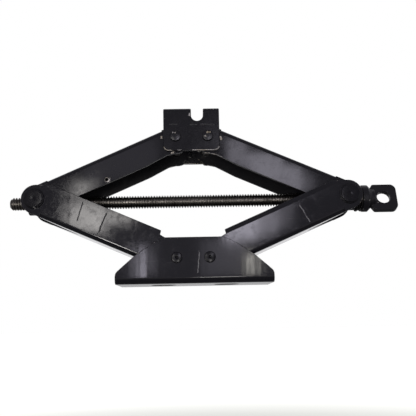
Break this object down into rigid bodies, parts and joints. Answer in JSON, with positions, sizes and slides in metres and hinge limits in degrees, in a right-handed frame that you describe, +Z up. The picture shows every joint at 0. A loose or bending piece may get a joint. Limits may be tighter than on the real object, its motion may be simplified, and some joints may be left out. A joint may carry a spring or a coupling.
{
  "type": "scissor jack",
  "caption": "Black steel scissor jack: flanged base, folding channel arms with meshing sector gears, notched saddle, and a threaded screw turned through a flat eye.",
  "frame": {"origin": "on the ground under the middle of the base, halfway between the two base pivots", "axes": "+X along the drive screw towards its eye, +Y from the near side plates to the far ones, +Z up"},
  "size_m": [0.4311, 0.0846, 0.1901],
  "materials": {
    "base": "black satin paint",
    "arm_paint": "black satin paint",
    "saddle_paint": "black satin paint, worn bare at the notch",
    "fastener_paint": "black paint over rivet heads",
    "trunnion_paint": "black paint, greasy",
    "forging_paint": "black paint over a forged surface",
    "oiled_steel": "dark oiled rolled thread",
    "zinc_steel": "dull plated steel",
    "bearing_steel": "ground steel"
  },
  "bodies": {
    "base": {"base": "base", "base_rivet_left": "fastener_paint", "base_rivet_right": "fastener_paint", "base_tube_left": "zinc_steel", "base_tube_right": "zinc_steel"},
    "lower_left_arm": {"lower_left_arm": "arm_paint"},
    "lower_right_arm": {"lower_right_arm": "arm_paint"},
    "upper_left_arm": {"upper_left_arm": "arm_paint"},
    "upper_right_arm": {"upper_right_arm": "arm_paint"},
    "saddle": {"saddle": "saddle_paint", "saddle_rivet_left": "fastener_paint", "saddle_rivet_right": "fastener_paint", "saddle_tube_left": "zinc_steel", "saddle_tube_right": "zinc_steel"},
    "left_trunnion": {"trunnion_nut": "trunnion_paint", "left_washer_front": "trunnion_paint", "left_washer_rear": "trunnion_paint"},
    "right_trunnion": {"trunnion_block": "trunnion_paint", "right_washer_front": "trunnion_paint", "right_washer_rear": "trunnion_paint", "thrust_race_inner": "bearing_steel"},
    "screw": {"drive_screw": "oiled_steel", "drive_eye": "forging_paint", "thrust_race_outer": "bearing_steel", "thrust_ball_cage": "bearing_steel", "retaining_collar": "zinc_steel", "collar_pin": "bearing_steel"}
  },
  "joints": [
    {"name": "screw_turn", "type": "hinge", "parent": "right_trunnion", "child": "screw", "pos_m": [0.16881, 0, 0.09279], "axis": [-1, 0, 0], "range_deg": [-6600, 17000]},
    {"name": "lower_left_pivot", "type": "hinge", "parent": "base", "child": "lower_left_arm", "pos_m": [-0.0175, 0, 0.027], "axis": [0, 1, 0], "range_deg": [-16.5, 42.5]},
    {"name": "lower_right_pivot", "type": "hinge", "parent": "base", "child": "lower_right_arm", "pos_m": [0.0175, 0, 0.027], "axis": [0, -1, 0], "range_deg": [-16.5, 42.5]},
    {"name": "upper_left_pivot", "type": "hinge", "parent": "lower_left_arm", "child": "upper_left_arm", "pos_m": [-0.16881, 0, 0.09279], "axis": [0, -1, 0], "range_deg": [-33, 85]},
    {"name": "upper_right_pivot", "type": "hinge", "parent": "lower_right_arm", "child": "upper_right_arm", "pos_m": [0.16881, 0, 0.09279], "axis": [0, 1, 0], "range_deg": [-33, 85]},
    {"name": "left_trunnion_pivot", "type": "hinge", "parent": "lower_left_arm", "child": "left_trunnion", "pos_m": [-0.16881, 0, 0.09279], "axis": [0, -1, 0], "range_deg": [-16.5, 42.5]},
    {"name": "right_trunnion_pivot", "type": "hinge", "parent": "lower_right_arm", "child": "right_trunnion", "pos_m": [0.16881, 0, 0.09279], "axis": [0, 1, 0], "range_deg": [-16.5, 42.5]},
    {"name": "saddle_pivot", "type": "hinge", "parent": "upper_left_arm", "child": "saddle", "pos_m": [-0.0175, 0, 0.15859], "axis": [0, 1, 0], "range_deg": [-16.5, 42.5]}
  ],
  "couplings": [
    {"joint": "lower_left_pivot", "follows": "screw_turn", "ratio": 0.0025},
    {"joint": "lower_right_pivot", "follows": "screw_turn", "ratio": 0.0025},
    {"joint": "upper_left_pivot", "follows": "screw_turn", "ratio": 0.005},
    {"joint": "upper_right_pivot", "follows": "screw_turn", "ratio": 0.005},
    {"joint": "left_trunnion_pivot", "follows": "screw_turn", "ratio": 0.0025},
    {"joint": "right_trunnion_pivot", "follows": "screw_turn", "ratio": 0.0025},
    {"joint": "saddle_pivot", "follows": "screw_turn", "ratio": 0.0025}
  ]
}
